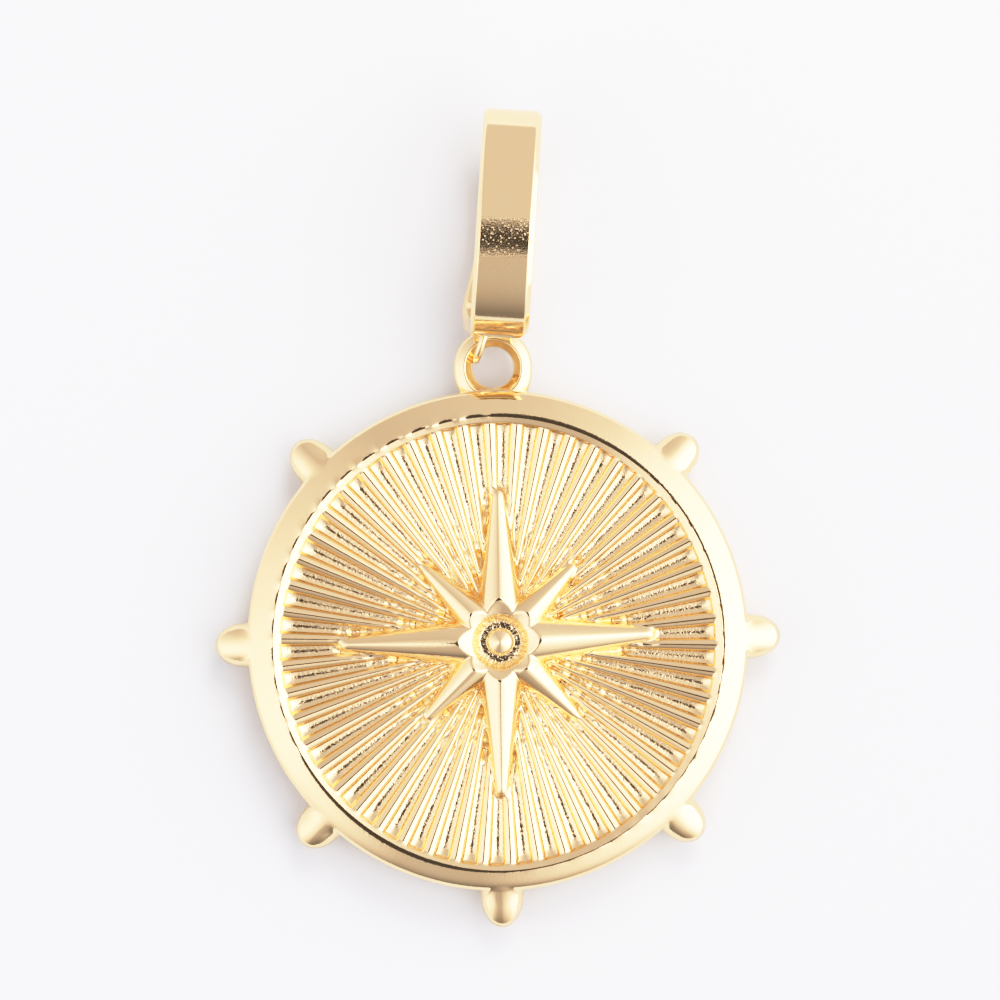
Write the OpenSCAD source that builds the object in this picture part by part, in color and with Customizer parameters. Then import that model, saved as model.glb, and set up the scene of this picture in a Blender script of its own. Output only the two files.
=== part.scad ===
// Coin pendant: a fluted, studded medallion with a compass star, linked to an oval bail.
// It lies on its flat back. The origin is the centre of that back, +Z leaves the face
// and +Y points at the bail.

/* [Coin] */
// Diameter over the rim, without the studs
coin_d = 22; // [20:0.5:25]
// Thickness at the crest of the rim, which is a full bull-nose
coin_t = 2.2; // [2:0.1:2.4]
// Radius of the rim's crest
crest_r = 9.9; // [9.8:0.05:10]
// Height of the floor between the ribs above the flat back
floor_z = 1.74; // [1.6:0.02:1.8]

/* [Ribs] */
// Number of ribs that fan out from the hub
rib_count = 50; // [40:1:56]
// Turn of the ribs against the coin's axes
rib_turn = -1.8; // [-3.6:0.1:3.6]
// Share of each rib's pitch that the rib itself covers
rib_share = 0.52; // [0.4:0.02:0.6]

/* [Star] */
// Reach of the four long arms from the centre
long_arm = 6.95; // [6:0.05:7.5]
// Reach of the four short arms from the centre
short_arm = 4.7; // [4:0.05:5]
// Half width of a long arm's top where it leaves the hub
long_half_w = 0.84; // [0.7:0.02:1]
// Half width of a short arm's top where it leaves the hub
short_half_w = 0.6; // [0.5:0.02:0.7]
// Height of the arms' ridges at the hub
ridge_z = 2.75; // [2.6:0.01:2.9]
// Height of the ridge at an arm's tip
tip_z = 2.16; // [2.1:0.01:2.3]

/* [Hub] */
// Radius of the hub's crest, where the arms' ridges end
hub_r = 1.85; // [1.7:0.05:2]
// Radius of the cup in the hub
cup_r = 1.22; // [1.1:0.02:1.3]
// Radius of the bead in the middle of the cup
bead_r = 0.6; // [0.5:0.02:0.7]

/* [Studs] */
// Reach of the studs from the centre of the coin
stud_reach = 12.4; // [12:0.1:12.6]
// Radius of a stud's rounded tip
stud_tip_r = 0.88; // [0.8:0.02:0.88]
// Angle between a stud's side and its axis
stud_taper = 7; // [5:1:7]

/* [Eyelet] */
// Distance of the eyelet's centre from the centre of the coin
eyelet_y = 12; // [11.9:0.02:12.1]
// Radius of the hole through the eyelet
eyelet_hole_r = 0.88; // [0.85:0.01:0.95]
// Thickness of the eyelet's ring
eyelet_wire = 0.86; // [0.7:0.02:0.9]

/* [Bail] */
// Length of the oval hoop
bail_l = 10; // [9.5:0.1:11]
// Depth of the oval hoop
bail_depth = 6.5; // [6:0.1:7]
// Width of the band that the hoop is made of
band_w = 2.5; // [2:0.1:3]
// Thickness of the band
band_t = 0.8; // [0.7:0.05:1]
// How much deeper the hoop is at its lower end than at its upper end, as a share
bail_belly = 0.1; // [0:0.01:0.15]
// Sideways run-out of the back of the hoop at its lower end
bail_askew = 0.4; // [0:0.05:0.5]
// Lean of the hoop away from the coin's upright axis
bail_lean = 4.6; // [0:0.1:8]
// Distance of the hoop's middle from the centre of the coin
bail_y = 18.25; // [18.2:0.01:18.4]
// Sideways place of the hoop's middle
bail_x = 0.71; // [0.5:0.01:0.9]

/* [Loop] */
// Thickness of the soldered loop's wire
loop_wire = 0.32; // [0.3:0.02:0.36]
// Radius of the opening in the soldered loop
loop_hole_r = 0.79; // [0.77:0.01:0.8]
// Height of the loop's centre
loop_z = 1.18; // [1.15:0.01:1.2]
// Turn of the loop away from the coin's upright axis
loop_turn = 24; // [20:1:25]

/* [Hidden] */
$fn = 64;

gold = "goldenrod";
mid_z = coin_t / 2;
inner_round = coin_t - floor_z;

module rim() {
    // A disc up to the floor of the face, a bull-nose outside the rim's crest and a
    // smaller round inside it, which ends at the floor.
    rotate_extrude() union() {
        square([crest_r, floor_z]);
        translate([crest_r, floor_z]) circle(r = inner_round);
        intersection() {
            translate([crest_r, mid_z]) circle(r = mid_z);
            translate([crest_r, 0]) square([mid_z, coin_t]);
        }
    }
}

// A rib is a cone that lies on the floor with its point at the centre of the coin.
rib_end_r = crest_r - 0.8 * inner_round;
rib_half_w = rib_share * PI * rib_end_r / rib_count;
rib_start_r = 1.6;

module rib() {
    translate([0, 0, floor_z]) rotate([0, 90, 0]) translate([0, 0, rib_start_r])
        cylinder(r1 = rib_half_w * rib_start_r / rib_end_r, r2 = rib_half_w, h = rib_end_r - rib_start_r);
}

module ribs() {
    for (i = [0 : rib_count - 1]) {
        rotate(rib_turn + i * 360 / rib_count) rib();
    }
}

// Outline and height of a star arm at the share s of its way from the hub to its tip.
// Its section is a rounded roof on two walls that flare out to the floor.
arm_start_r = cup_r + 0.2;
arm_stations = 8;
arm_foot_z = floor_z - 0.2;
arm_flare = 0.16;
tip_half_w = 0.17;
tip_roof = 0.08;
hub_roof = 0.38;
brow_share = 0.3;
brow_drop = 0.18;
function arm_half_w(s, root) = tip_half_w + (root - tip_half_w) * pow(1 - s, 1.25);
function arm_ridge(s) = tip_z + (ridge_z - tip_z) * pow(1 - s, 1.3);
function arm_roof(s) = tip_roof + (hub_roof - tip_roof) * pow(1 - s, 1.3);
function arm_section(x, half_w, ridge, roof) = [
    [x, -half_w - arm_flare, arm_foot_z],
    [x, -half_w, ridge - roof],
    [x, -half_w * brow_share, ridge - roof * brow_drop],
    [x, 0, ridge],
    [x, half_w * brow_share, ridge - roof * brow_drop],
    [x, half_w, ridge - roof],
    [x, half_w + arm_flare, arm_foot_z]
];

module arm(reach, root) {
    n = len(arm_section(0, 0, 0, 0));
    points = [for (k = [0 : arm_stations]) let (s = k / arm_stations)
        each arm_section(arm_start_r + (reach - arm_start_r) * s, arm_half_w(s, root), arm_ridge(s), arm_roof(s))];
    sides = [for (k = [0 : arm_stations - 1], j = [0 : n - 1])
        [k * n + j, k * n + (j + 1) % n, (k + 1) * n + (j + 1) % n, (k + 1) * n + j]];
    hub_end = [[for (j = [n - 1 : -1 : 0]) j]];
    tip_end = [[for (j = [0 : n - 1]) arm_stations * n + j]];
    polyhedron(points, concat(hub_end, sides, tip_end));
}

module star() {
    for (i = [0 : 3]) {
        rotate(90 * i) arm(long_arm, long_half_w);
        rotate(90 * i + 45) arm(short_arm, short_half_w);
    }
}

// The hub rises to a crest, falls inwards to the lip of the cup, and the cup has a bead
// in the middle of its flat floor.
hub_crest_z = ridge_z - 0.06;
hub_foot_r = hub_r + 0.35;
hub_brow_r = hub_r + 0.12;
hub_brow_z = hub_crest_z - 0.1;
lip_z = hub_crest_z - 0.3;
cup_floor_r = cup_r - 0.1;
cup_floor_z = 1.95;
bead_z = cup_floor_z - 0.2;

module hub() {
    rotate_extrude() polygon([
        [0, mid_z],
        [hub_foot_r, mid_z],
        [hub_foot_r, floor_z],
        [hub_brow_r, hub_brow_z],
        [hub_r, hub_crest_z],
        [cup_r, lip_z],
        [cup_floor_r, cup_floor_z],
        [0, cup_floor_z]
    ]);
    translate([0, 0, bead_z]) sphere(r = bead_r);
}

module cup() {
    // The space over the lip and the cup, which the arms' inner ends leave clear.
    rotate_extrude() polygon([
        [0, cup_floor_z],
        [cup_floor_r, cup_floor_z],
        [cup_r, lip_z],
        [hub_r, hub_crest_z],
        [hub_r, ridge_z + tip_z],
        [0, ridge_z + tip_z]
    ]);
}

stud_angles = [0, 45, 135, 180, 225, 270, 315];
stud_root_r = 10.2;

module stud() {
    // The cone meets the round tip where their surfaces are tangent.
    centre = stud_reach - stud_tip_r;
    shoulder = centre + stud_tip_r * sin(stud_taper);
    shoulder_r = stud_tip_r * cos(stud_taper);
    root_r = shoulder_r + (shoulder - stud_root_r) * tan(stud_taper);
    translate([0, 0, mid_z]) rotate([0, 90, 0]) {
        translate([0, 0, centre]) sphere(r = stud_tip_r);
        translate([0, 0, stud_root_r]) cylinder(r1 = root_r, r2 = shoulder_r, h = shoulder - stud_root_r);
    }
}

module studs() {
    for (a = stud_angles) {
        rotate(a) stud();
    }
}

eyelet_ring_r = eyelet_hole_r + eyelet_wire / 2;

module eyelet() {
    translate([0, eyelet_y, mid_z])
        rotate_extrude() translate([eyelet_ring_r, 0]) circle(d = eyelet_wire);
}

module coin() {
    color(gold) union() {
        rim();
        ribs();
        difference() {
            star();
            cup();
        }
        hub();
        studs();
        eyelet();
    }
}

// The hoop is the band swept round an egg-shaped oval that stands on edge, long axis
// along Y. The oval is widest nearer its lower end, and its back runs out sideways there.
hoop_stations = 56;
askew_from = 160;
askew_to = 260;
hoop_half_l = (bail_l - band_t) / 2;
hoop_half_d = (bail_depth - band_t) / 2;
function hoop_y(a) = hoop_half_l * cos(a);
function hoop_z(a) = hoop_half_d * sin(a) * (1 - bail_belly * cos(a));
function askew_share(a) = a < askew_from || a > askew_to ? 0 : (a - askew_from) / (askew_to - askew_from);
function hoop_x(a) = -bail_askew * pow(sin(180 * askew_share(a)), 2);
function hoop_slope(a) = [
    -hoop_half_l * sin(a),
    hoop_half_d * (cos(a) - bail_belly * cos(2 * a))
];

// Outline of the band's section: the sideways place and the place across the band's
// thickness of each corner, with the four edges cut back.
band_edge = 0.25;
band_section = [
    [band_w / 2 - band_edge, -band_t / 2],
    [band_w / 2, -band_t / 2 + band_edge],
    [band_w / 2, band_t / 2 - band_edge],
    [band_w / 2 - band_edge, band_t / 2],
    [-band_w / 2 + band_edge, band_t / 2],
    [-band_w / 2, band_t / 2 - band_edge],
    [-band_w / 2, -band_t / 2 + band_edge],
    [-band_w / 2 + band_edge, -band_t / 2]
];

module hoop() {
    points = [for (k = [0 : hoop_stations - 1])
        let (a = k * 360 / hoop_stations, d = hoop_slope(a), out = [d[1], -d[0]] / norm(d))
        for (p = band_section)
            [hoop_x(a) + p[0], hoop_y(a) + out[0] * p[1], hoop_z(a) + out[1] * p[1]]];
    n = len(band_section);
    polyhedron(points, [for (k = [0 : hoop_stations - 1], j = [0 : n - 1])
        let (next = (k + 1) % hoop_stations)
        [k * n + j, next * n + j, next * n + (j + 1) % n, k * n + (j + 1) % n]]);
}

loop_r = loop_hole_r + loop_wire / 2;
loop_x = -0.05;
loop_y = eyelet_y + eyelet_ring_r;
hoop_lift = bail_depth / 2 + 0.02;

module loop() {
    translate([loop_x, loop_y, loop_z])
        rotate([0, 90, -loop_turn])
            rotate_extrude() translate([loop_r, 0]) circle(d = loop_wire);
}

module bail() {
    color(gold) union() {
        translate([bail_x, bail_y, hoop_lift]) rotate(-bail_lean) hoop();
        loop();
    }
}

coin();
bail();
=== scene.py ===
"""Looks of a gold-plated coin pendant: a fluted, studded medallion with a compass star,
and the oval bail that is linked to its eyelet. Shapes are made in millimetres in the
part's own frame and turned to metres when they are finished."""

import ast
import math

import bpy
from mathutils import Matrix, Vector


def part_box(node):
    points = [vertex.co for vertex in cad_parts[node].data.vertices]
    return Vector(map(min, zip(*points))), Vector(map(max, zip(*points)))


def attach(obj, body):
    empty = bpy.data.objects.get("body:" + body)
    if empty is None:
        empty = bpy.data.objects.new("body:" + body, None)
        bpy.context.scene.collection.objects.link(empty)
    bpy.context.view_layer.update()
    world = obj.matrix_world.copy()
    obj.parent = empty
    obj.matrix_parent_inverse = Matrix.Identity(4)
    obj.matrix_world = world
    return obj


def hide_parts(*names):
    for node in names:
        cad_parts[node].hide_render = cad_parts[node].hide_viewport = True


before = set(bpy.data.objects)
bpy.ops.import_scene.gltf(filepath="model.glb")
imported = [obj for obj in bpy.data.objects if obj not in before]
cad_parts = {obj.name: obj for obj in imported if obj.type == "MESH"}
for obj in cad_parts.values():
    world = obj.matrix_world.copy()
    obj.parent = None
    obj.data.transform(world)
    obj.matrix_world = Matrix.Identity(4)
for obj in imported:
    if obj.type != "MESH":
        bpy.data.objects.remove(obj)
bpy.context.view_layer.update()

MM = 0.001
UM = MM * MM

# Driving sizes in millimetres, as in the part's source
stud_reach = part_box("coin")[1].x / MM
eyelet_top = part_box("coin")[1].y / MM
coin_r = 11
coin_t = 2.2
crest_r = 9.92
nose_h = 0.62
floor_z = 1.74
rib_count = 50
rib_turn = math.radians(-1.8)
cup_r = 1.22
cup_wall_r = 0.9
bead_r = 0.6
eyelet_wire = 0.86
eyelet_hole_r = 0.88
bail_l = 10
bail_depth = 6.5
band_w = 2.58
band_t = 0.8
bail_belly = 0.1
bail_askew = 0.4
bail_lean = math.radians(4.6)
bail_x = 0.69
bail_y = 18.25
bail_lift = 0.02
loop_wire = 0.34
loop_hole_r = 0.79
loop_z = 1.18
loop_turn = math.radians(20)
loop_x = -0.4
loop_y = 13.22

mid_z = coin_t / 2
rib_pitch = 2 * math.pi / rib_count
eighth = math.pi / 4
eyelet_ring_r = eyelet_hole_r + eyelet_wire / 2
eyelet_y = eyelet_top - eyelet_ring_r - eyelet_wire / 2


def add(tree, kind, settings=None, links=None):
    """Adds a node with its settings, and links or sets its inputs."""
    node = tree.nodes.new(kind)
    for name, value in (settings or {}).items():
        setattr(node, name, value)
    for name, value in (links or {}).items():
        if isinstance(value, bpy.types.NodeSocket):
            tree.links.new(value, node.inputs[name])
        else:
            node.inputs[name].default_value = value
    return node


SIGNS = {ast.Add: "ADD", ast.Sub: "SUBTRACT", ast.Mult: "MULTIPLY", ast.Div: "DIVIDE", ast.Pow: "POWER"}


def formula(tree, text, **values):
    """Builds the math nodes of a formula and returns its result. A name in the formula is a
    socket or a number, and a function is the math node of that name. Only clamp is two
    nodes: it keeps its term between 0 and 1."""

    def node(kind, *terms):
        return add(tree, "ShaderNodeMath", {"operation": kind}, dict(enumerate(terms))).outputs[0]

    def build(part):
        if isinstance(part, ast.Constant):
            return part.value
        if isinstance(part, ast.Name):
            return values[part.id]
        if isinstance(part, ast.UnaryOp):
            return node("MULTIPLY", -1, build(part.operand))
        if isinstance(part, ast.BinOp):
            return node(SIGNS[type(part.op)], build(part.left), build(part.right))
        terms = [build(term) for term in part.args]
        if part.func.id == "clamp":
            return node("MINIMUM", node("MAXIMUM", terms[0], 0), 1)
        return node(part.func.id.upper(), *terms)

    return build(ast.parse(text).body[0].value)


def noise(tree, place, scale, detail):
    """The value of a cloudy noise, with scale clouds to the unit."""
    links = {"Vector": place, "Scale": scale, "Detail": detail}
    return add(tree, "ShaderNodeTexNoise", links=links).outputs[0]


def moved(tree, geometry, place):
    """The geometry with its points at their new places."""
    links = {"Geometry": geometry, "Position": place}
    return add(tree, "GeometryNodeSetPosition", links=links).outputs[0]


def swept(tree, path, section):
    """A surface with the loop of edges as its section along the path."""
    profile = add(tree, "GeometryNodeMeshToCurve", links={0: section}).outputs[0]
    links = {"Curve": path, "Profile Curve": profile}
    return add(tree, "GeometryNodeCurveToMesh", links=links).outputs[0]


def new_tree(name, sizes):
    """A Geometry Nodes tree with a mesh input and a named input for each size."""
    tree = bpy.data.node_groups.new(name, "GeometryNodeTree")
    tree.interface.new_socket("Geometry", in_out="INPUT", socket_type="NodeSocketGeometry")
    tree.interface.new_socket("Geometry", in_out="OUTPUT", socket_type="NodeSocketGeometry")
    for label in sizes:
        tree.interface.new_socket(label, in_out="INPUT", socket_type="NodeSocketFloat")
    return tree, add(tree, "NodeGroupInput").outputs


def finish_tree(tree, geometry, material):
    """Ends a tree with its realized instances and its material."""
    realised = add(tree, "GeometryNodeRealizeInstances", links={0: geometry})
    coated = add(
        tree,
        "GeometryNodeSetMaterial",
        links={"Geometry": realised.outputs[0], "Material": material},
    )
    add(tree, "NodeGroupOutput", links={0: coated.outputs[0]})
    return tree


def run_tree(name, mesh, tree, sizes):
    """Runs a tree on a mesh and returns the result as an object with a plain mesh."""
    rough = bpy.data.objects.new(name + "_rough", mesh)
    bpy.context.scene.collection.objects.link(rough)
    modifier = rough.modifiers.new("shape", "NODES")
    modifier.node_group = tree
    for item in tree.interface.items_tree:
        if item.item_type == "SOCKET" and item.in_out == "INPUT" and item.name in sizes:
            modifier[item.identifier] = float(sizes[item.name])
    evaluated = rough.evaluated_get(bpy.context.evaluated_depsgraph_get())
    shaped = bpy.data.meshes.new_from_object(evaluated)
    bpy.data.objects.remove(rough)
    shaped.name = name
    made = bpy.data.objects.new(name, shaped)
    bpy.context.scene.collection.objects.link(made)
    return made


def spread(start, end, count):
    """Evenly spaced values from start up to, and without, end."""
    return [start + (end - start) * k / count for k in range(count)]


# Places of the columns of vertices across one rib's pitch, as shares of its half
RIB_COLUMNS = [-1, -0.8, -0.63, -0.55, -0.5, -0.43, -0.34, -0.23, -0.11]
RIB_COLUMNS += [0, 0.11, 0.23, 0.34, 0.43, 0.5, 0.55, 0.63, 0.8]

# Radius of the face's rings of vertices: the cup, the hub, the flutes beside the star, the
# flutes outside it, the end walls of the grooves and the rim's inner slope
CUP_RINGS = spread(0.08, 0.56, 6) + [0.56, 0.59, 0.61] + spread(0.64, 1.24, 14) + [1.24]
FACE_RINGS = spread(1.3, 2.3, 9) + spread(2.3, 7.2, 40) + spread(7.2, 9.36, 10)
FACE_RINGS += spread(9.36, 9.72, 9) + spread(9.72, 9.87, 3) + [9.87, 9.9]

# The rings over the rim's rounded nose, which gather at its middle, where the studs are.
# Further rings lie close outside the crest. The nose's upright side spans SIDE_TURN, in
# radians, above and below its middle
NOSE_RINGS = 29
NOSE_GATHER = 1.15
CREST_STEPS = [0.02, 0.05, 0.09]
SIDE_TURN = 0.25
BACK_RINGS = [8, 5, 2]

# How evenly the columns stay between the studs, and over how many rings they are drawn
EVEN_SHARE = 0.3
DRAW_RINGS = 12


def coin_rings():
    """Radius and height of each ring of the blank, from the face's middle to the back's."""
    rings = [(r, floor_z) for r in CUP_RINGS + FACE_RINGS]
    even = [2 * k / (NOSE_RINGS - 1) - 1 for k in range(NOSE_RINGS)]
    turns = [-math.pi / 2 * math.copysign(abs(share) ** NOSE_GATHER, share) for share in even]
    nose_w = coin_r - crest_r
    turns[1:1] = [math.acos(step / nose_w) for step in CREST_STEPS]
    for turn in turns:
        side = math.copysign(min(1, abs(turn) / SIDE_TURN), turn) * (mid_z - nose_h)
        rings.append((crest_r + nose_w * math.cos(turn), mid_z + side + nose_h * math.sin(turn)))
    return rings + [(r, 0) for r in BACK_RINGS]


def clustered(angle):
    """Draws an angle towards the nearest eighth of a turn, where a stud or the eyelet is."""
    off = (angle + eighth / 2) % eighth - eighth / 2
    share = abs(off) / (eighth / 2)
    drawn = EVEN_SHARE * share + (1 - EVEN_SHARE) * share ** 3
    return angle - off + math.copysign(drawn, off) * eighth / 2


def coin_blank():
    """The blank as a closed mesh. Its face has a column for each place in RIB_COLUMNS, and
    inside the hub and outside the crest it has half as many."""
    fine = [rib_turn + rib_pitch * (i + share / 2) for i in range(rib_count) for share in RIB_COLUMNS]
    coarse = fine[::2]
    rings = coin_rings()
    points, rows = [], []
    crest = len(CUP_RINGS + FACE_RINGS)
    for k, (r, z) in enumerate(rings):
        if len(CUP_RINGS) <= k <= crest:
            angles = fine
        else:
            on_back = k >= len(rings) - len(BACK_RINGS)
            draw = 1 if on_back else min(1, max(0, (k - crest) / DRAW_RINGS))
            angles = [a + draw * (clustered(a) - a) for a in coarse]
        rows.append(list(range(len(points), len(points) + len(angles))))
        points += [(r * math.cos(a), r * math.sin(a), z) for a in angles]
    faces = []
    for inner, outer in zip(rows, rows[1:]):
        n, m = len(inner), len(outer)
        for j in range(min(n, m)):
            near = [inner[(j * n // min(n, m) + i) % n] for i in range(n // min(n, m) + 1)]
            far = [outer[(j * m // min(n, m) + i) % m] for i in range(m // min(n, m) + 1)]
            faces.append(near[::-1] + far)
    top, bottom = len(points), len(points) + 1
    points += [(0, 0, floor_z), (0, 0, 0)]
    faces += [(top, rows[0][j], rows[0][(j + 1) % len(rows[0])]) for j in range(len(rows[0]))]
    last = rows[-1]
    faces += [(bottom, last[(j + 1) % len(last)], last[j]) for j in range(len(last))]
    mesh = bpy.data.meshes.new("coin_blank")
    mesh.from_pydata(points, [], faces)
    return mesh


# Sizes of the relief in millimetres, its slopes as rise over run, and how widely two of its
# surfaces blend where they meet. Rib share and Cleft depth are plain factors
RELIEF = {
    "Rib share": 0.54,
    "Rib rise": 1.1,
    "Rib blend": 0.03,
    "Groove depth": 0.02,
    "Groove run-out": 0.45,
    "Wall foot": 9.53,
    "Wall slope": 4.5,
    "Wall blend": 0.06,
    "Rim slope": 0.33,
    "Rim blend": 0.09,
    "Crest bump": 0.052,
    "Crest edge": 0.0615,
    "Ridge height": 2.77,
    "Arm foot": 1.6,
    "Ridge edge": 0.065,
    "Arm blend": 0.18,
    "Star blend": 0.05,
    "Collar radius": 1.88,
    "Collar rise": 0.2,
    "Collar left": 0.05,
    "Lip height": 2.5,
    "Lip blend": 0.03,
    "Cleft depth": 1.0,
    "Dash depth": 0.11,
    "Cup floor": 1.95,
    "Cup grain": 0.35,
    "Bead height": 2.28,
    "Bead blend": 0.02,
    "Design right": 0.113,
    "Design up": -0.05,
    "Crest right": 0.01,
    "Crest up": -0.12,
    "Crest oval": 0.06,
}

# The star's arms: direction in degrees, reach and half width at the root in millimetres,
# how steeply the ridge falls, and over how many millimetres it bends down
ARMS = [
    (2.2, 6.87, 1.1, 0.135, 0.35),
    (45, 4.8, 0.86, 0.25, 0.35),
    (90, 6.8, 1.05, 0.135, 0.35),
    (135, 4.8, 0.86, 0.25, 0.35),
    (180, 7.12, 1.05, 0.135, 0.95),
    (225, 4.8, 0.86, 0.25, 0.35),
    (269.6, 6.85, 1.05, 0.12, 0.35),
    (315, 4.75, 0.86, 0.25, 0.35),
]

# Where the arms begin to taper, half width of their tips as a share of their roots', where
# their ridges begin to fall, how full their section is, and how steep its foot is
ARM_ROOT_R = 1.42
ARM_TIP_SHARE = 0.34
ARM_BEND_R = 1.2
ARM_DOME = 2.4
ARM_STEEP = 4

# Outside this radius the strike's shift turns from the design's into the crest's
WALL_TOP_R = 9.6

# Where the studs' round tips begin, and their half width there, the lowest one's half width
# and how much longer it is. From the side a stud is half an ellipse: its middle and height
STUD_R = 11.18
STUD_W = 0.95
STUD_W_LOW = 0.94
STUD_LONGER = 0.2
STUD_MIDDLE_R = 10.6
STUD_H = 0.64

# The part of the rim that each stud is drawn from, as half its width and height, and the
# share of it that makes the tip. The rest is the skirt that meets the rim
STUD_REGION_W = 1.09
STUD_REGION_H = 0.9
STUD_TIP = 0.62


def bluntness(tree, angle):
    """How near a place is to the rim's two blunt stretches, at the upper right and at the
    lower left."""
    upper = formula(tree, "maximum(cosine(a - turn), 0) ** 4", a=angle, turn=math.radians(66))
    lower = formula(tree, "maximum(cosine(a - turn), 0) ** 6", a=angle, turn=math.radians(242))
    return upper, lower


def flutes(tree, size, r, angle):
    """Half-round ribs that widen outwards, with a shallow round groove between them, and
    the wall that ends the grooves and leads up to the rim's slope. Returns the height, and
    the distance from the nearest rib's middle."""
    half = formula(tree, "r * pitch / 2", r=r, pitch=rib_pitch)
    u = formula(
        tree,
        "absolute(wrap(a - turn, half, -half)) * r",
        a=angle,
        r=r,
        turn=rib_turn,
        half=rib_pitch / 2,
    )
    w = formula(tree, "half * share", half=half, share=size["Rib share"])
    rib = formula(
        tree,
        "floor + rise * sqrt(maximum(w * w - u * u, 0)) - steep * maximum(u - w, 0)",
        floor=floor_z,
        rise=size["Rib rise"],
        steep=3,
        w=w,
        u=u,
    )
    beside = formula(tree, "minimum((half - u) / (half - w), 1)", half=half, u=u, w=w)
    # The wall follows the crest, which is off the flutes' centre and a little oval
    foot = formula(
        tree,
        "foot + (b - a) * cosine(t) + (d - c) * sine(t) - oval * cosine(2 * t)",
        foot=size["Wall foot"],
        a=size["Design right"],
        b=size["Crest right"],
        c=size["Design up"],
        d=size["Crest up"],
        oval=size["Crest oval"],
        t=angle,
    )
    run_out = formula(
        tree, "maximum(r - foot + before, 0)", r=r, foot=foot, before=size["Groove run-out"]
    )
    groove = formula(
        tree,
        "floor + (b * b - 1) * depth * sqrt(r) + 0.5 * o * o",
        floor=floor_z,
        b=beside,
        depth=size["Groove depth"],
        r=r,
        o=run_out,
    )
    fluted = formula(tree, "smooth_max(a, b, k)", a=groove, b=rib, k=size["Rib blend"])
    inwards = formula(tree, "maximum(c - r, 0)", c=crest_r, r=r)
    # The slope is rounded off towards the crest, most where the rim is blunt
    upper, lower = bluntness(tree, angle)
    slope = formula(
        tree,
        "top - slope * (sqrt(i * i + k * k) - k)",
        top=coin_t,
        slope=size["Rim slope"],
        i=inwards,
        k=formula(tree, "0.03 + 0.17 * u + 0.1 * l", u=upper, l=lower),
    )
    wall = formula(
        tree,
        "floor + slope * (r - foot)",
        floor=floor_z,
        slope=size["Wall slope"],
        r=r,
        foot=foot,
    )
    rim = formula(tree, "smooth_min(a, b, k)", a=slope, b=wall, k=size["Rim blend"])
    return formula(tree, "smooth_max(a, b, k)", a=fluted, b=rim, k=size["Wall blend"]), u


def star(tree, size, r, angle):
    """Eight arms with a domed section between steep walls, blended at their roots."""
    joined = None
    for turn, reach, root, fall, bend in ARMS:
        tip = ARM_TIP_SHARE * root
        off = formula(tree, "wrap(a - turn, pi, -pi)", a=angle, turn=math.radians(turn), pi=math.pi)
        along = formula(tree, "r * cosine(off)", r=r, off=off)
        across = formula(tree, "absolute(r * sine(off))", r=r, off=off)
        past = formula(tree, "maximum(l - end, 0)", l=along, end=reach - tip)
        t = formula(tree, "sqrt(n * n + p * p)", n=across, p=past)
        s = formula(
            tree,
            "clamp((l - a) / (b - a))",
            l=along,
            a=ARM_ROOT_R,
            b=reach - tip,
        )
        w = formula(tree, "root + (tip - root) * s", tip=tip, root=root, s=s)
        beyond = formula(tree, "maximum(l - a, 0)", l=along, a=ARM_BEND_R)
        ridge = formula(
            tree,
            "top - fall * (sqrt(b * b + k * k) - k)",
            top=size["Ridge height"],
            fall=fall,
            b=beyond,
            k=bend,
        )
        arm = formula(
            tree,
            "low + (ridge - low) * sqrt(maximum(1 - (t / w) ** dome, 0)) - edge * n"
            " - steep * maximum(t - w, 0) - steep * maximum(1 - l, 0)",
            low=size["Arm foot"],
            dome=ARM_DOME,
            steep=ARM_STEEP,
            ridge=ridge,
            t=t,
            w=w,
            edge=size["Ridge edge"],
            n=across,
            l=along,
        )
        if joined is None:
            joined = arm
        else:
            joined = formula(tree, "smooth_max(a, b, k)", a=joined, b=arm, k=size["Arm blend"])
    return joined


def hub(tree, size, place, arms, r, angle):
    """The funnel cut into the arms' roots, the round channel of the cup and its bead."""
    end = formula(
        tree,
        "mean + up * sine(a) - left * cosine(a)",
        mean=size["Collar radius"],
        up=size["Collar rise"],
        left=size["Collar left"],
        a=angle,
    )
    inwards = formula(tree, "clamp((end - r) / (end - cup))", end=end, r=r, cup=cup_r)
    funnel = formula(
        tree,
        "lip + (top - lip) * (1 - i ** bend) + 1.5 * maximum(r - end, 0) - 3 * maximum(cup - r, 0)",
        lip=size["Lip height"],
        top=size["Ridge height"],
        bend=1.3,
        i=inwards,
        r=r,
        end=end,
        cup=cup_r,
    )
    cut = formula(tree, "smooth_min(a, b, k)", a=arms, b=funnel, k=size["Lip blend"])
    channel = formula(
        tree,
        "low + slope * maximum(r - wall, 0)",
        low=size["Cup floor"],
        slope=1.1,
        r=r,
        wall=cup_wall_r,
    )
    inside = formula(tree, "less_than(r, cup)", r=r, cup=cup_r)
    # The cup's floor is a little grainy, and its wall is coarse
    grit = noise(tree, place, 4.5, 2.0)
    sunk = formula(
        tree,
        "cut + (maximum(cut, c) - cut"
        " + grain * (least + (1 - least) * greater_than(r, wall)) * (grit - 0.5)) * m",
        least=0.12,
        cut=cut,
        c=channel,
        grain=size["Cup grain"],
        grit=grit,
        r=r,
        wall=cup_wall_r,
        m=inside,
    )
    # The bead comes to a blunt point
    bead = formula(
        tree,
        "top - cone * sqrt(r * r + 0.002) - dome * r * r - 5 * maximum(r - b, 0)",
        top=size["Bead height"],
        cone=0.3,
        dome=0.28,
        b=bead_r - 0.02,
        r=r,
    )
    return formula(tree, "smooth_max(a, b, k)", a=sunk, b=bead, k=size["Bead blend"])


# How far out the flutes are blurred, and how sharply the clefts and dashes begin
INNER_R = 6.5
BLUR_SHARP = 9


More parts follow.
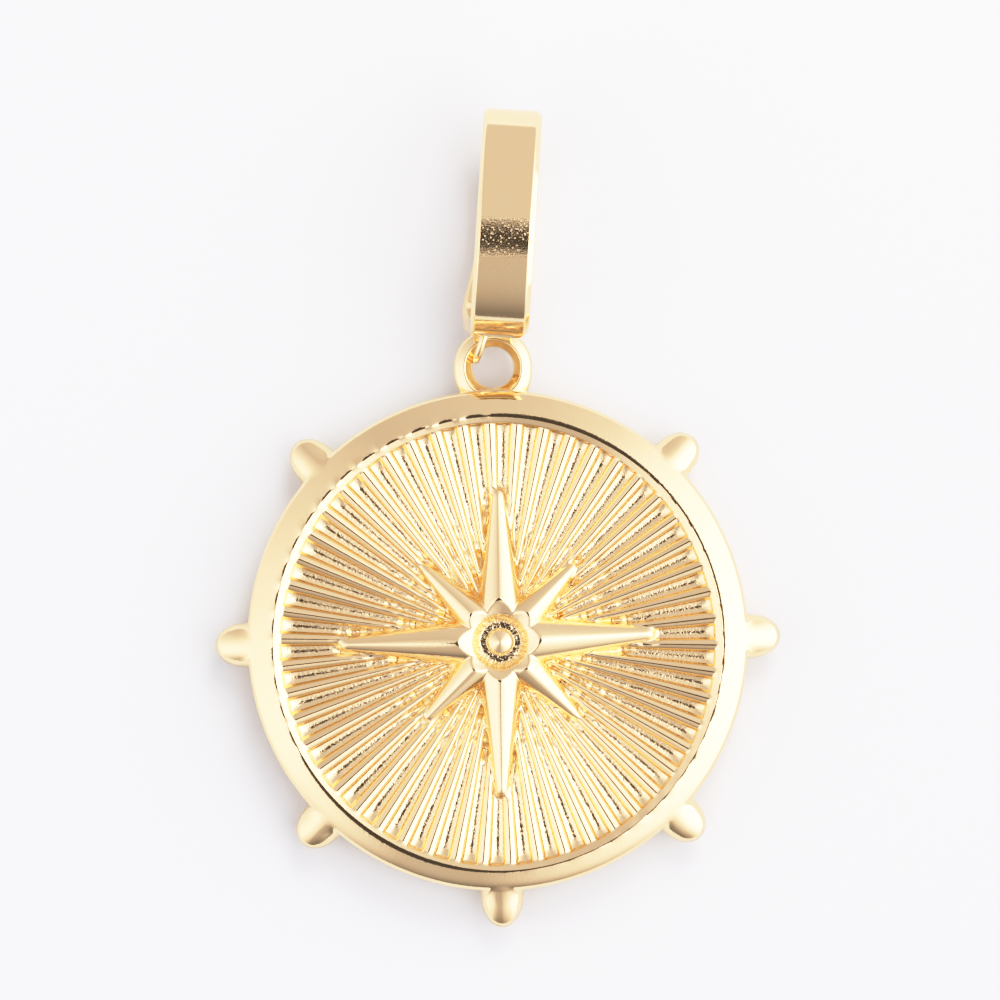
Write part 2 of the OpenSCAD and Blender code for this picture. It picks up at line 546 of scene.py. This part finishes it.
def clefts(tree, size, place, fluted, raised, r, u):
    """Uneven clefts where the grooves run against the arms' walls, and the inner flutes'
    blurred, slightly molten surface."""
    blur = noise(tree, place, 2.2, 1.0)
    gap = formula(
        tree, "maximum((foot - z) / steep, 0)", foot=size["Arm foot"], z=raised, steep=ARM_STEEP
    )
    near = formula(tree, "clamp((far - gap) / soft)", gap=gap, far=0.3, soft=0.2)
    between = formula(
        tree,
        "clamp((u / (r * pitch / 2) - start) / soft)",
        u=u,
        r=r,
        pitch=rib_pitch,
        start=0.4,
        soft=0.25,
    )
    depth = formula(
        tree,
        "least + more * clamp((blur - 0.47) * sharp)",
        least=0.03,
        more=0.14,
        blur=blur,
        sharp=BLUR_SHARP,
    )
    inner = formula(tree, "clamp((end - r) / soft)", r=r, end=INNER_R, soft=3)
    return formula(
        tree,
        "z - much * near * (0.3 + 0.7 * between) * depth + molten * (blur - 0.5) * inner"
        " - dash * between * inner * clamp((blur - 0.5) * sharp)",
        z=fluted,
        molten=0.05,
        sharp=BLUR_SHARP,
        dash=size["Dash depth"],
        much=size["Cleft depth"],
        near=near,
        between=between,
        depth=depth,
        blur=blur,
        inner=inner,
    )


def crest(tree, size, r, angle, u):
    """The rim's crest: a fine edge, highest at the left and below. It is hardly raised at
    the right and along the rim's two blunt stretches. At the upper left it has a small rise
    over each rib."""
    upper, lower = bluntness(tree, angle)
    sharp = formula(
        tree,
        "1 - 0.28 * cosine(a) - 0.42 * sine(a) - 0.49 * u - 1.27 * l"
        " - 0.42 * maximum(cosine(a - east), 0) ** 8",
        east=math.radians(10),
        a=angle,
        u=upper,
        l=lower,
    )
    d = formula(tree, "r - crest", r=r, crest=crest_r)
    edge = formula(
        tree,
        "edge * sharp * maximum(0.25 - sqrt(d * d + 0.0002), 0)",
        edge=size["Crest edge"],
        sharp=sharp,
        d=d,
    )
    part = formula(
        tree,
        "clamp((cosine(a - turn) - 0.5) / 0.15)",
        a=angle,
        turn=math.radians(150),
    )
    bumps = formula(
        tree,
        "bump * part * maximum(1 - u / half, 0) * exponent(-(d * d / 0.015))",
        bump=size["Crest bump"],
        half=0.3,
        part=part,
        u=u,
        d=d,
    )
    # At the lower right long low swells break the line
    low_right = formula(tree, "maximum(cosine(a - turn), 0) ** 6", a=angle, turn=math.radians(318))
    swells = formula(
        tree,
        "swell * m * sine(a * 43) * sine(a * 17 + 1) * exponent(-(d * d / 0.05))",
        swell=0.018,
        m=low_right,
        a=angle,
        d=d,
    )
    return formula(tree, "a + b + c", a=edge, b=bumps, c=swells)


def studs(tree, r, angle, z):
    """Draws the studs out of the rim at each eighth of a turn but the eyelet's, and
    returns the new radius, angle and height."""
    off = formula(tree, "wrap(a, half, -half)", a=angle, half=eighth / 2)
    axis = formula(tree, "a - off", a=angle, off=off)
    low = formula(tree, "less_than(absolute(a + quarter), 0.1)", a=axis, quarter=math.pi / 2)
    long = formula(tree, "reach + more * low", reach=stud_reach - STUD_R, more=STUD_LONGER, low=low)
    wide = formula(tree, "w + (v - w) * low", w=STUD_W, v=STUD_W_LOW, low=low)
    # Place on the rim in shares of the drawn region, and its distance from the stud's axis
    a = formula(tree, "r * sine(off) / w", r=r, off=off, w=STUD_REGION_W)
    b = formula(tree, "(z - mid) / h", z=z, mid=mid_z, h=STUD_REGION_H)
    t = formula(tree, "sqrt(a * a + b * b)", a=a, b=b)
    # Over the round tip, then down the skirt
    theta = formula(tree, "minimum(t / tip, 1) * quarter", t=t, tip=STUD_TIP, quarter=math.pi / 2)
    x_body = formula(tree, "start + long * cosine(q)", start=STUD_R, long=long, q=theta)
    side = formula(tree, "wide * sine(q)", wide=wide, q=theta)
    rise = formula(
        tree,
        "high * sqrt(maximum(1 - ((x - middle) / (long + before)) ** 2, 0))",
        high=STUD_H,
        x=x_body,
        middle=STUD_MIDDLE_R,
        long=long,
        before=STUD_R - STUD_MIDDLE_R,
    )
    g = formula(tree, "maximum((t - tip) / (1 - tip), 0)", t=t, tip=STUD_TIP)
    side_out = formula(tree, "side + (w - side) * g * g", side=side, w=STUD_REGION_W, g=g)
    rise_out = formula(
        tree,
        "rise + (h - rise) * (1.5 * g - 0.5 * g * g)",
        rise=rise,
        h=STUD_REGION_H,
        g=g,
    )
    a2 = formula(tree, "a / maximum(t, 0.0001) * q", a=a, t=t, q=side_out)
    b2 = formula(tree, "b / maximum(t, 0.0001) * q", b=b, t=t, q=rise_out)
    up = formula(tree, "maximum(absolute(b) - mid + h, 0) / h", b=b2, mid=mid_z, h=nose_h)
    rim_r = formula(
        tree,
        "crest + nose * sqrt(maximum(1 - up * up, 0))",
        crest=crest_r,
        nose=coin_r - crest_r,
        up=up,
    )
    rim_x = formula(tree, "sqrt(maximum(rr * rr - a * a, 0))", rr=rim_r, a=a2)
    out_x = formula(tree, "body + (rim - body) * (1 - (1 - g) * (1 - g))", body=x_body, rim=rim_x, g=g)
    drawn = formula(
        tree,
        "less_than(t, 1) * greater_than(r, crest) * greater_than(absolute(c - up), 0.1)",
        t=t,
        r=r,
        crest=crest_r + 0.001,
        c=axis,
        up=math.pi / 2,
    )
    new_r = formula(tree, "sqrt(x * x + a * a)", x=out_x, a=a2)
    new_angle = formula(tree, "c + arctan2(a, x)", c=axis, a=a2, x=out_x)
    return (
        formula(tree, "r + (n - r) * m", r=r, n=new_r, m=drawn),
        formula(tree, "a + (n - a) * m", a=angle, n=new_angle, m=drawn),
        formula(tree, "z + (mid + b - z) * m", z=z, mid=mid_z, b=b2, m=drawn),
    )


def coin_tree(material):
    """Strikes the relief on the blank, a little off its centre, and draws the studs out of
    the rim."""
    tree, size = new_tree("coin_relief", RELIEF)
    place = add(tree, "GeometryNodeInputPosition")
    x, y, z = add(tree, "ShaderNodeSeparateXYZ", links={0: place.outputs[0]}).outputs
    r = formula(tree, "sqrt(x * x + y * y)", x=x, y=y)
    angle = formula(tree, "arctan2(y, x)", x=x, y=y)
    fluted, u = flutes(tree, size, r, angle)
    raised = hub(tree, size, place.outputs[0], star(tree, size, r, angle), r, angle)
    worn = clefts(tree, size, place.outputs[0], fluted, raised, r, u)
    face = formula(tree, "smooth_max(a, b, k)", a=worn, b=raised, k=size["Star blend"])
    on_face = formula(tree, "less_than(absolute(z - floor), 0.001)", z=z, floor=floor_z)
    inside = formula(tree, "on * less_than(r, c)", on=on_face, r=r, c=crest_r - 0.001)
    upper = formula(tree, "maximum(greater_than(z, mid), m)", z=z, mid=mid_z + 0.3, m=inside)
    edge = crest(tree, size, r, angle, u)
    struck_z = formula(
        tree,
        "z + (face - z) * m + edge * up",
        z=z,
        face=face,
        m=inside,
        edge=edge,
        up=upper,
    )
    out_r, out_angle, out_z = studs(tree, r, angle, struck_z)

    # The strike is off centre: the design most, the crest less, and the outline not at all.
    # The crest is a little oval too
    over = formula(tree, "clamp((r - a) / (b - a))", r=out_r, a=WALL_TOP_R, b=crest_r)
    rest = formula(tree, "maximum((out - r) / (out - c), 0)", out=coin_r, r=out_r, c=crest_r)
    rest = formula(tree, "minimum(rest, 1) * up", rest=rest, up=upper)
    right, up = (
        formula(
            tree,
            "(a + (b - a) * o) * f",
            a=size["Design " + way],
            b=size["Crest " + way],
            o=over,
            f=rest,
        )
        for way in ("right", "up")
    )
    oval = formula(tree, "k * o * f", k=size["Crest oval"], o=over, f=rest)
    joined = add(
        tree,
        "ShaderNodeCombineXYZ",
        links={
            0: formula(tree, "(r - k) * cosine(a) + d", r=out_r, k=oval, a=out_angle, d=right),
            1: formula(tree, "(r + k) * sine(a) + d", r=out_r, k=oval, a=out_angle, d=up),
            2: out_z,
        },
    )
    return finish_tree(tree, moved(tree, size["Geometry"], joined.outputs[0]), material)


# How many sides the loop's wire has, and steps along the two rings and the hoop
WIRE_SIDES = 20
RING_STEPS = 96
HOOP_STEPS = 240

# Where the dome of the eyelet's wall has its middle, inside the wire's own, the directions of
# its points in degrees, and the heights of those down the countersunk side, as shares of
# the whole
DOME_MIDDLE = -0.2
DOME_TURNS = range(-80, 81, 8)
WAIST_SHARES = [0.97, 0.8, 0.5, 0.2, 0.05]


def section_mesh(name, points):
    """A closed loop of edges through the points of a cross-section."""
    mesh = bpy.data.meshes.new(name)
    edges = [(k, (k + 1) % len(points)) for k in range(len(points))]
    mesh.from_pydata([(x, y, 0) for x, y in points], edges, [])
    return mesh


def wire_section():
    """The loop's round wire."""
    half = loop_wire / 2
    turns = spread(0, 2 * math.pi, WIRE_SIDES)
    return section_mesh("wire_section", [(half * math.cos(a), half * math.sin(a)) for a in turns])


def eyelet_section():
    """The eyelet's wall: domed outwards, and a countersunk cone towards its hole."""
    half = eyelet_wire / 2
    dome = [math.radians(a) for a in DOME_TURNS]
    dome_w = half - DOME_MIDDLE
    outer = [(DOME_MIDDLE + dome_w * math.cos(a), half * math.sin(a)) for a in dome]
    top_x, top_z = outer[-1]
    waist = [(-half + (top_x + half) * s, top_z * s) for s in WAIST_SHARES]
    inner = waist + [(x, -z) for x, z in reversed(waist)]
    return section_mesh("eyelet_section", outer + inner)


def ring_tree(name, sizes, material):
    """A cross-section swept round a circle, whose lower end may flare."""
    tree, size = new_tree(name, sizes)
    path = add(
        tree,
        "GeometryNodeCurvePrimitiveCircle",
        links={"Resolution": RING_STEPS, "Radius": size["Ring radius"]},
    )
    wire = swept(tree, path.outputs[0], size["Geometry"])
    place = add(tree, "GeometryNodeInputPosition")
    x, y, z = add(tree, "ShaderNodeSeparateXYZ", links={0: place.outputs[0]}).outputs
    down = formula(tree, "maximum(-y, 0) / ring", y=y, ring=size["Ring radius"])
    flared = formula(tree, "x * (1 + flare * d * d)", x=x, flare=size["Foot flare"], d=down)
    shaped = add(tree, "ShaderNodeCombineXYZ", links={0: flared, 1: y, 2: z})
    return finish_tree(tree, moved(tree, wire, shaped.outputs[0]), material)


HOOP = {
    "Half length": (bail_l - band_t) / 2,
    "Half depth": (bail_depth - band_t) / 2,
    "Belly": bail_belly,
    "Askew": bail_askew,
}

# The stretch of the hoop, as turns round it, over which it swings askew
ASKEW_START = math.radians(160)
ASKEW_END = math.radians(260)

# The bevels along the band's left and right edges, and how much their corners are rounded.
# Beside each rounded corner a further point keeps the flats flat to the eye
BEVEL_LEFT = 0.17
BEVEL_RIGHT = 0.23
BEVEL_DEPTH = 0.2
CORNER_ROUND = 0.035
CORNER_BESIDE = 1.6 * CORNER_ROUND


def band_section():
    """The band's cross-section: flat faces with a bevel at each corner."""
    w, t = band_w / 2, band_t / 2
    corners = [
        (-w, BEVEL_DEPTH - t),
        (BEVEL_LEFT - w, -t),
        (w - BEVEL_RIGHT, -t),
        (w, BEVEL_DEPTH - t),
        (w, t - BEVEL_DEPTH),
        (w - BEVEL_RIGHT, t),
        (BEVEL_LEFT - w, t),
        (-w, t - BEVEL_DEPTH),
    ]
    points = []
    for k, corner in enumerate(corners):
        here = Vector(corner)
        back = (Vector(corners[k - 1]) - here).normalized()
        ahead = (Vector(corners[(k + 1) % len(corners)]) - here).normalized()
        middle = here + (back + ahead) * CORNER_ROUND / 4
        points += [here + back * CORNER_BESIDE, here + back * CORNER_ROUND, middle]
        points += [here + ahead * CORNER_ROUND, here + ahead * CORNER_BESIDE]
    return section_mesh("band_section", points)


def hoop_tree(material):
    """The band's section swept round the egg-shaped oval that stands on edge."""
    tree, size = new_tree("hoop", HOOP)
    links = {"Resolution": HOOP_STEPS, "Radius": 1.0}
    circle = add(tree, "GeometryNodeCurvePrimitiveCircle", links=links)
    place = add(tree, "GeometryNodeInputPosition")
    c, s, _ = add(tree, "ShaderNodeSeparateXYZ", links={0: place.outputs[0]}).outputs
    turn = formula(tree, "wrap(arctan2(s, c), turn, 0)", s=s, c=c, turn=2 * math.pi)
    share = formula(
        tree,
        "clamp((a - start) / (end - start))",
        a=turn,
        start=ASKEW_START,
        end=ASKEW_END,
    )
    path = add(
        tree,
        "ShaderNodeCombineXYZ",
        links={
            0: formula(tree, "-askew * sine(pi * s) ** 2", askew=size["Askew"], pi=math.pi, s=share),
            1: formula(tree, "l * c", l=size["Half length"], c=c),
            2: formula(
                tree,
                "d * s * (1 - belly * c)",
                d=size["Half depth"],
                s=s,
                belly=size["Belly"],
                c=c,
            ),
        },
    )
    oval = moved(tree, circle.outputs[0], path.outputs[0])
    upright = add(
        tree,
        "GeometryNodeSetCurveNormal",
        {"mode": "FREE"},
        {"Curve": oval, "Normal": (1.0, 0.0, 0.0)},
    )
    return finish_tree(tree, swept(tree, upright.outputs[0], size["Geometry"]), material)


def linear(code):
    """Turns an sRGB hex colour to the linear values that shaders use."""
    parts = [int(code[i : i + 2], 16) / 255 for i in (1, 3, 5)]
    return [c / 12.92 if c <= 0.04045 else ((c + 0.055) / 1.055) ** 2.4 for c in parts] + [1.0]


def mould_grain(tree, place):
    """How grainy the casting is left: most at the cup's wall, less on the cup's floor and
    in the grooves, and hardly at all where it was polished."""
    x, y, z = add(tree, "ShaderNodeSeparateXYZ", links={0: place}).outputs
    away = formula(
        tree,
        "sqrt((x / mm - cx) * (x / mm - cx) + (y / mm - cy) * (y / mm - cy))",
        x=x,
        y=y,
        mm=MM,
        cx=RELIEF["Design right"],
        cy=RELIEF["Design up"],
    )
    up = formula(tree, "z / mm", z=z, mm=MM)
    groove = formula(
        tree,
        "clamp((top - z) / 0.05) * greater_than(z, low) * less_than(r, end)",
        top=floor_z + 0.03,
        low=1.5,
        end=9.45,
        z=up,
        r=away,
    )
    cup = formula(
        tree,
        "less_than(r, cup) * greater_than(r, bead) * (0.5 + 1.5 * greater_than(r, wall))",
        r=away,
        cup=cup_r + 0.02,
        wall=cup_wall_r,
        bead=bead_r - 0.02,
    )
    inner = formula(tree, "clamp((end - r) / soft)", r=away, end=INNER_R, soft=3.5)
    ends = formula(tree, "clamp((end - r) / soft)", r=away, end=8.8, soft=1.5)
    # The deep dashes have clean walls
    dash = formula(tree, "clamp((low - z) / soft)", low=floor_z - 0.06, z=up, soft=0.04)
    return formula(
        tree,
        "least + g * (0.65 + 0.35 * e + 0.3 * i) * (1 - 0.75 * d) + c",
        least=0.12,
        g=groove,
        e=ends,
        i=inner,
        d=dash,
        c=cup,
    )


# Place and half width of the hoop's rubbed crown
CROWN_Y = 17.56
CROWN_W = 0.86


def crown_wear(tree, place):
    """How scratched the band is: hardly, but for the crown of the hoop, which is rubbed."""
    _, y, z = add(tree, "ShaderNodeSeparateXYZ", links={0: place}).outputs
    return formula(
        tree,
        "least + more * clamp((w - absolute(y / mm - crown)) / 0.06) * greater_than(z / mm, h)",
        least=0.35,
        more=1.35,
        y=y,
        z=z,
        mm=MM,
        w=CROWN_W,
        crown=CROWN_Y,
        h=bail_depth - 1.5,
    )


# Spacing of the pits in grains, and of the plating's clouds of tint and gloss
PIT_SPACING = 1.5
CLOUD_MM = 0.9


def gold_plating(name, grain_mm, grain_um, pit_um, grainy):
    """Bright gold electroplate over a brass casting. Real plating copies the surface below
    it: mirror-like on the polished rim and band, and broken into small glints where the
    mould's grain was left, in the grooves and the cup. The grain is drawn about twice as
    coarse as real, so that it shows at this size. Its width is in millimetres, and its
    height and the depth of its pits in micrometres."""
    material = bpy.data.materials.new(name)
    material.use_nodes = True
    tree = material.node_tree
    tree.nodes.clear()
    place = add(tree, "ShaderNodeTexCoord").outputs["Object"]
    peel = add(
        tree,
        "ShaderNodeTexNoise",
        links={"Vector": place, "Scale": 1 / (grain_mm * MM), "Detail": 2.0, "Roughness": 0.6},
    )
    cell = PIT_SPACING * grain_mm * MM
    cells = add(tree, "ShaderNodeTexVoronoi", links={"Vector": place, "Scale": 1 / cell})
    pit = formula(
        tree,
        "maximum(1 - d / 0.4, 0) * greater_than(c, 0.5)",
        d=cells.outputs["Distance"],
        c=cells.outputs["Color"],
    )
    height = formula(
        tree,
        "(peel * grain - pit * deep) * m",
        peel=peel.outputs[0],
        grain=grain_um,
        pit=pit,
        deep=pit_um,
        m=grainy(tree, place),
    )
    bump = add(tree, "ShaderNodeBump", links={"Height": height, "Distance": UM, "Strength": 1.0})
    clouds = noise(tree, place, 1 / (CLOUD_MM * MM), 1.0)
    tint = add(
        tree,
        "ShaderNodeMix",
        {"data_type": "RGBA"},
        {"Factor": clouds, "A": linear("#FFE3B3"), "B": linear("#FFDFA9")},
    )
    gold = add(
        tree,
        "ShaderNodeBsdfPrincipled",
        links={
            "Base Color": tint.outputs["Result"],
            "Metallic": 1.0,
            "Roughness": formula(tree, "0.05 + 0.04 * c", c=clouds),
            "Normal": bump.outputs[0],
        },
    )
    add(tree, "ShaderNodeOutputMaterial", links={"Surface": gold.outputs[0]})
    return material


def join(whole, part):
    """Fuses the part into the whole with a boolean union."""
    modifier = whole.modifiers.new("union", "BOOLEAN")
    modifier.operation = "UNION"
    modifier.solver = "MANIFOLD"
    modifier.object = part
    evaluated = whole.evaluated_get(bpy.context.evaluated_depsgraph_get())
    mesh = bpy.data.meshes.new_from_object(evaluated)
    whole.modifiers.clear()
    whole.data = mesh
    bpy.data.objects.remove(part)


def finish_piece(made, node):
    """Turns the piece to metres, smooths it, and puts it in the frame in its node's place."""
    made.data.transform(Matrix.Scale(MM, 4))
    made.data.shade_smooth()
    made.data.update()
    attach(made, "root")
    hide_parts(node)


def coin():
    """The medallion with its eyelet."""
    name = "gold_plating_on_struck_casting"
    material = gold_plating(name, grain_mm=0.12, grain_um=16.0, pit_um=6.0, grainy=mould_grain)
    made = run_tree("coin_struck", coin_blank(), coin_tree(material), RELIEF)
    ring = {"Ring radius": eyelet_ring_r, "Foot flare": 0.13}
    eyelet = run_tree("eyelet", eyelet_section(), ring_tree("eyelet_ring", ring, material), ring)
    eyelet.data.transform(Matrix.Translation((0, eyelet_y, mid_z)))
    join(made, eyelet)
    finish_piece(made, "coin")


def bail():
    """The hoop with the loop that is soldered to its lower end."""
    name = "gold_plating_on_polished_band"
    material = gold_plating(name, grain_mm=0.06, grain_um=3.0, pit_um=2.8, grainy=crown_wear)
    made = run_tree("bail_hoop", band_section(), hoop_tree(material), HOOP)
    lift = Matrix.Translation((bail_x, bail_y, bail_depth / 2 + bail_lift))
    made.data.transform(lift @ Matrix.Rotation(-bail_lean, 4, "Z"))
    ring = {"Ring radius": loop_hole_r + loop_wire / 2, "Foot flare": 0.0}
    loop = run_tree("loop", wire_section(), ring_tree("loop_ring", ring, material), ring)
    spin = Matrix.Rotation(-loop_turn, 4, "Z") @ Matrix.Rotation(math.pi / 2, 4, "Y")
    loop.data.transform(Matrix.Translation((loop_x, loop_y, loop_z)) @ spin)
    join(made, loop)
    finish_piece(made, "bail")


def floor():
    """A wide board of matt white card."""
    mesh = bpy.data.meshes.new("floor")
    half = 3.0
    corners = [(-half, -half, 0), (half, -half, 0), (half, half, 0), (-half, half, 0)]
    mesh.from_pydata(corners, [], [(0, 1, 2, 3)])
    material = bpy.data.materials.new("matt_white_card")
    material.use_nodes = True
    tree = material.node_tree
    tree.nodes.clear()
    card = add(tree, "ShaderNodeBsdfDiffuse", links={"Color": linear("#DFE6EB")})
    add(tree, "ShaderNodeOutputMaterial", links={"Surface": card.outputs[0]})
    mesh.materials.append(material)
    made = bpy.data.objects.new("floor", mesh)
    bpy.context.scene.collection.objects.link(made)


# Brightness of the light tent by direction, in degrees from the right
TENT = {
    0: 3.2,
    20: 2.7,
    45: 1.75,
    60: 1.1,
    80: 0.85,
    120: 0.7,
    150: 1.1,
    180: 1.7,
    205: 1.9,
    225: 1.5,
    245: 0.65,
    265: 0.6,
    300: 1.6,
    330: 2.7,
}

# The brightness that the ramp's white stands for, how much of it the front loses towards the
# horizon, and the brightness of the camera's opening and of the backdrop as the camera sees it
TENT_TOP = 4.0
FRONT_DARK = 0.62
CAMERA_OPENING = 0.07
BACKDROP = 1.35

# The camera's opening overhead: how far its middle is right of the zenith and behind it, in
# degrees, and the sines of the angles at which its soft edge begins and ends
OPENING_RIGHT = -2
OPENING_BEHIND = -3
OPENING_INNER = 0.19
OPENING_OUTER = 0.215

# The lamp: power in watts, colour, size and distance in metres, and its direction in
# degrees from the right and from overhead
WINDOW_W = 0.28
WINDOW_COLOUR = (1.0, 0.92, 0.84)
WINDOW_SIZE = 0.12
WINDOW_AWAY = 0.25
WINDOW_TURN = 70
WINDOW_POLAR = 48


def studio():
    """A white tent, brightest at the right, dim behind and dark in front, with a dark
    opening overhead for the camera."""
    world = bpy.data.worlds.new("studio")
    bpy.context.scene.world = world
    world.use_nodes = True
    tree = world.node_tree
    tree.nodes.clear()
    direction = add(tree, "ShaderNodeTexCoord").outputs["Generated"]
    x, y, z = add(tree, "ShaderNodeSeparateXYZ", links={0: direction}).outputs
    turn = formula(tree, "wrap(arctan2(y, x) / full, 1, 0)", x=x, y=y, full=2 * math.pi)
    ramp = add(tree, "ShaderNodeValToRGB", links={"Fac": turn})
    stops = ramp.color_ramp.elements
    stops.remove(stops[1])
    for azimuth, level in [*TENT.items(), (360, TENT[0])]:
        stop = stops[0] if azimuth == 0 else stops.new(azimuth / 360)
        stop.position = azimuth / 360
        stop.color = (level / TENT_TOP, level / TENT_TOP, level / TENT_TOP, 1)
    around = formula(tree, "v * top", v=ramp.outputs[0], top=TENT_TOP)
    polar = formula(tree, "arccosine(z)", z=z)
    front = formula(
        tree,
        "maximum(-y, 0) ** 3 * clamp((p - start) / soft)",
        y=y,
        p=polar,
        start=0.5,
        soft=0.9,
    )
    tent = formula(tree, "v * (1 - dark * f)", v=around, dark=FRONT_DARK, f=front)
    away = formula(
        tree,
        "sqrt((x - a) * (x - a) + (y - b) * (y - b))",
        x=x,
        y=y,
        a=math.sin(math.radians(OPENING_RIGHT)),
        b=math.sin(math.radians(OPENING_BEHIND)),
    )
    edge = formula(tree, "clamp((d - a) / (b - a))", d=away, a=OPENING_INNER, b=OPENING_OUTER)
    level = formula(tree, "dark + (tent - dark) * e", dark=CAMERA_OPENING, tent=tent, e=edge)
    path = add(tree, "ShaderNodeLightPath")
    level = formula(tree, "a + (b - a) * c", a=level, b=BACKDROP, c=path.outputs["Is Camera Ray"])
    sky = add(tree, "ShaderNodeBackground", links={"Color": linear("#FFF5F8"), "Strength": level})
    add(tree, "ShaderNodeOutputWorld", links={"Surface": sky.outputs[0]})


def window():
    """A large soft lamp behind the tent's upper right side. It lights the card alone, which
    gives the soft shadow at the lower left."""
    data = bpy.data.lights.new("window", "AREA")
    data.shape = "DISK"
    data.size = WINDOW_SIZE
    data.energy = WINDOW_W
    data.color = WINDOW_COLOUR
    made = bpy.data.objects.new("window", data)
    bpy.context.scene.collection.objects.link(made)
    turn, polar = math.radians(WINDOW_TURN), math.radians(WINDOW_POLAR)
    side = math.sin(polar)
    towards = Vector((side * math.cos(turn), side * math.sin(turn), math.cos(polar)))
    made.location = towards * WINDOW_AWAY
    made.rotation_euler = towards.to_track_quat("Z", "Y").to_euler()
    made.visible_glossy = False
    made.visible_camera = False


# The picture's middle, and its width at the middle's height, in millimetres, the camera's
# distance above it and its turn in degrees
PICTURE_MIDDLE = (0.207, 6.166, 2)
PICTURE_W = 43.82
CAMERA_AWAY = 400
CAMERA_TURN = -1


def camera():
    """Straight above the picture's middle, turned by one degree, on a long lens."""
    data = bpy.data.cameras.new("camera")
    data.sensor_width = 36
    data.lens = data.sensor_width * CAMERA_AWAY / PICTURE_W
    data.clip_start = 0.01
    data.clip_end = 10
    made = bpy.data.objects.new("camera", data)
    bpy.context.scene.collection.objects.link(made)
    x, y, z = PICTURE_MIDDLE
    made.location = Vector((x, y, z + CAMERA_AWAY)) * MM
    made.rotation_euler = (0, 0, math.radians(CAMERA_TURN))
    bpy.context.scene.camera = made


# The tone curve's soft shoulder: brightness in the scene and in the picture
SHOULDER = {0.3: 0.3, 0.6: 0.6, 0.8: 0.76, 1.05: 0.875, 1.3: 0.945, 1.65: 0.985, 2.2: 1.0}
CURVE_WHITE = 2.4


def tone_curve():
    """The highlights roll off as they do in a studio photograph."""
    view = bpy.context.scene.view_settings
    view.view_transform = "Standard"
    view.use_curve_mapping = True
    curves = view.curve_mapping
    curves.white_level = (CURVE_WHITE, CURVE_WHITE, CURVE_WHITE)
    curves.extend = "HORIZONTAL"
    for seen, shown in SHOULDER.items():
        curves.curves[3].points.new(seen / CURVE_WHITE, shown)
    curves.update()


coin()
bail()
floor()
studio()
window()
camera()
tone_curve()
